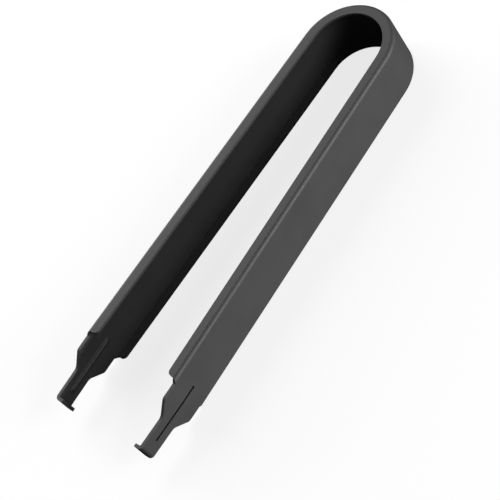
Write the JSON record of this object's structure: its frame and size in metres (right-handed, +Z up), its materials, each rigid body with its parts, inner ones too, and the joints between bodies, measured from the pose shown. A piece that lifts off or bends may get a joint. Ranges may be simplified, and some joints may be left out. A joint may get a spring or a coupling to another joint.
{
  "type": "keyboard switch puller",
  "caption": "Springy one-piece sheet-metal puller with a round bow, channelled arms, and flat hooked blades that grip a keyboard switch from both sides.",
  "frame": {"origin": "centre of the outline seen from above, on the surface that the puller lies on", "axes": "+Z up from the flange faces that it lies on, +Y along the arms from the tips to the bow, X across the gap between the arms"},
  "size_m": [0.0218, 0.0859, 0.01],
  "materials": {
    "coated_steel": "matt dark grey coating on steel"
  },
  "bodies": {
    "root": {"puller": "coated_steel"}
  },
  "joints": []
}
